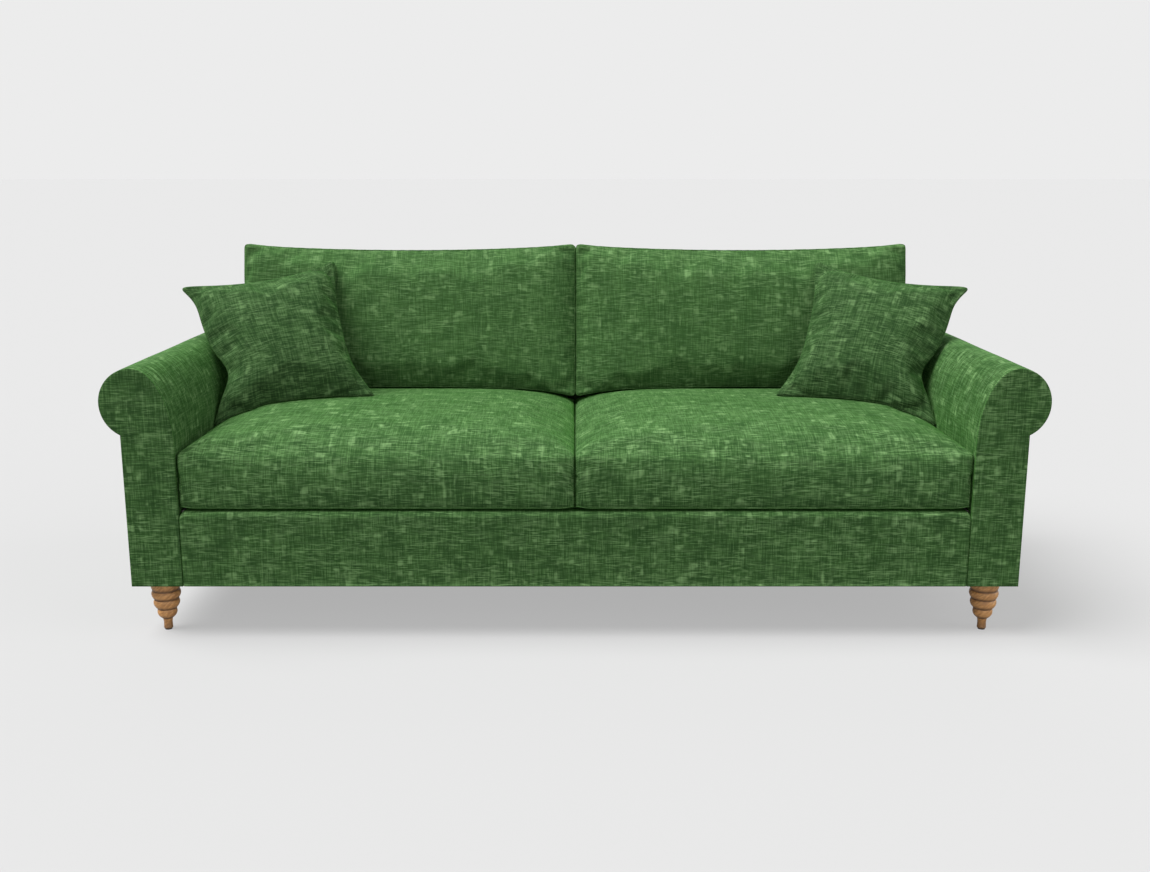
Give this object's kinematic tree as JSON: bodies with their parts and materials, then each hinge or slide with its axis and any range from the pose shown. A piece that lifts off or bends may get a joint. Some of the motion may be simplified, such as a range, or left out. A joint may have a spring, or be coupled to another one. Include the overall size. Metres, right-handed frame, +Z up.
{
  "type": "scroll-arm sofa",
  "caption": "Scroll-arm sofa with loose seat, back and scatter cushions in mottled velvet, on a padded hardwood frame with ringed, turned wooden legs.",
  "frame": {"origin": "on the floor, in the middle of the footprint", "axes": "+X along the sofa to its right end as seen from the front, -Y towards the sitter's feet (the front), +Z up"},
  "size_m": [2.31, 0.96, 0.9308],
  "materials": {
    "frame_velvet": "mottled slub velvet, tightly upholstered",
    "seat_velvet": "mottled slub velvet over a plump fibre wrap",
    "back_velvet": "mottled slub velvet over a fibre filling",
    "scatter_velvet": "mottled slub velvet, knife-edged",
    "lining": "plain black woven lining",
    "foam": "open-cell upholstery foam",
    "fibre_filling": "white hollow fibre",
    "felt": "needled insulator felt",
    "webbing": "woven jute webbing",
    "beech": "planed, unfinished",
    "hardboard": "smooth hardboard",
    "oak": "turned oak, matt oil",
    "steel": "bright zinc plated",
    "glide": "black moulded nylon"
  },
  "bodies": {
    "frame": {"front_seat_rail": "beech", "back_seat_rail": "beech", "inner_side_rails": "beech", "outer_side_rails": "beech", "centre_stretcher": "beech", "leg_blocks": "beech", "arm_front_boards": "beech", "arm_back_boards": "beech", "arm_top_rails": "beech", "arm_roll_liners": "hardboard", "arm_inner_liners": "hardboard", "arm_outer_liners": "hardboard", "left_back_post": "beech", "right_back_post": "beech", "back_middle_posts": "beech", "back_top_rail": "beech", "back_lower_rail": "beech", "outside_back_board": "hardboard", "seat_springs": "steel", "spring_clips": "steel", "back_webbing": "webbing", "left_arm_roll_padding": "foam", "right_arm_roll_padding": "foam", "left_inside_arm_padding": "foam", "right_inside_arm_padding": "foam", "border_padding": "foam", "deck_pad": "felt", "back_padding": "foam", "left_arm_cover": "frame_velvet", "right_arm_cover": "frame_velvet", "left_arm_front_facing": "frame_velvet", "right_arm_front_facing": "frame_velvet", "arm_back_facings": "frame_velvet", "left_outside_arm_cover": "frame_velvet", "right_outside_arm_cover": "frame_velvet", "front_border_cover": "frame_velvet", "deck_cloth": "lining", "inside_back_cover": "frame_velvet", "outside_back_cover": "frame_velvet", "dust_cover": "lining", "front_left_leg": "oak", "front_right_leg": "oak", "back_left_leg": "oak", "back_right_leg": "oak", "leg_bolts": "steel", "leg_tee_nuts": "steel", "foot_glides": "glide"},
    "left_seat": {"left_seat_cushion": "seat_velvet", "left_seat_core": "foam"},
    "right_seat": {"right_seat_cushion": "seat_velvet", "right_seat_core": "foam"},
    "left_back": {"left_back_cushion": "back_velvet", "left_back_filling": "fibre_filling"},
    "right_back": {"right_back_cushion": "back_velvet", "right_back_filling": "fibre_filling"},
    "left_scatter": {"left_scatter_cushion": "scatter_velvet", "left_scatter_filling": "fibre_filling"},
    "right_scatter": {"right_scatter_cushion": "scatter_velvet", "right_scatter_filling": "fibre_filling"}
  },
  "joints": [
    {"name": "left_seat_slide", "type": "slide", "parent": "frame", "child": "left_seat", "axis": [0, -1, 0], "range_m": [0, 0.4]},
    {"name": "right_seat_slide", "type": "slide", "parent": "frame", "child": "right_seat", "axis": [0, -1, 0], "range_m": [0, 0.4]},
    {"name": "left_back_lift", "type": "slide", "parent": "frame", "child": "left_back", "axis": [0, 0.1564, 0.9877], "range_m": [0, 0.5]},
    {"name": "right_back_lift", "type": "slide", "parent": "frame", "child": "right_back", "axis": [0, 0.1564, 0.9877], "range_m": [0, 0.5]},
    {"name": "left_scatter_lift", "type": "slide", "parent": "left_seat", "child": "left_scatter", "axis": [0, 0, 1], "range_m": [0, 0.35]},
    {"name": "right_scatter_lift", "type": "slide", "parent": "right_seat", "child": "right_scatter", "axis": [0, 0, 1], "range_m": [0, 0.35]}
  ]
}
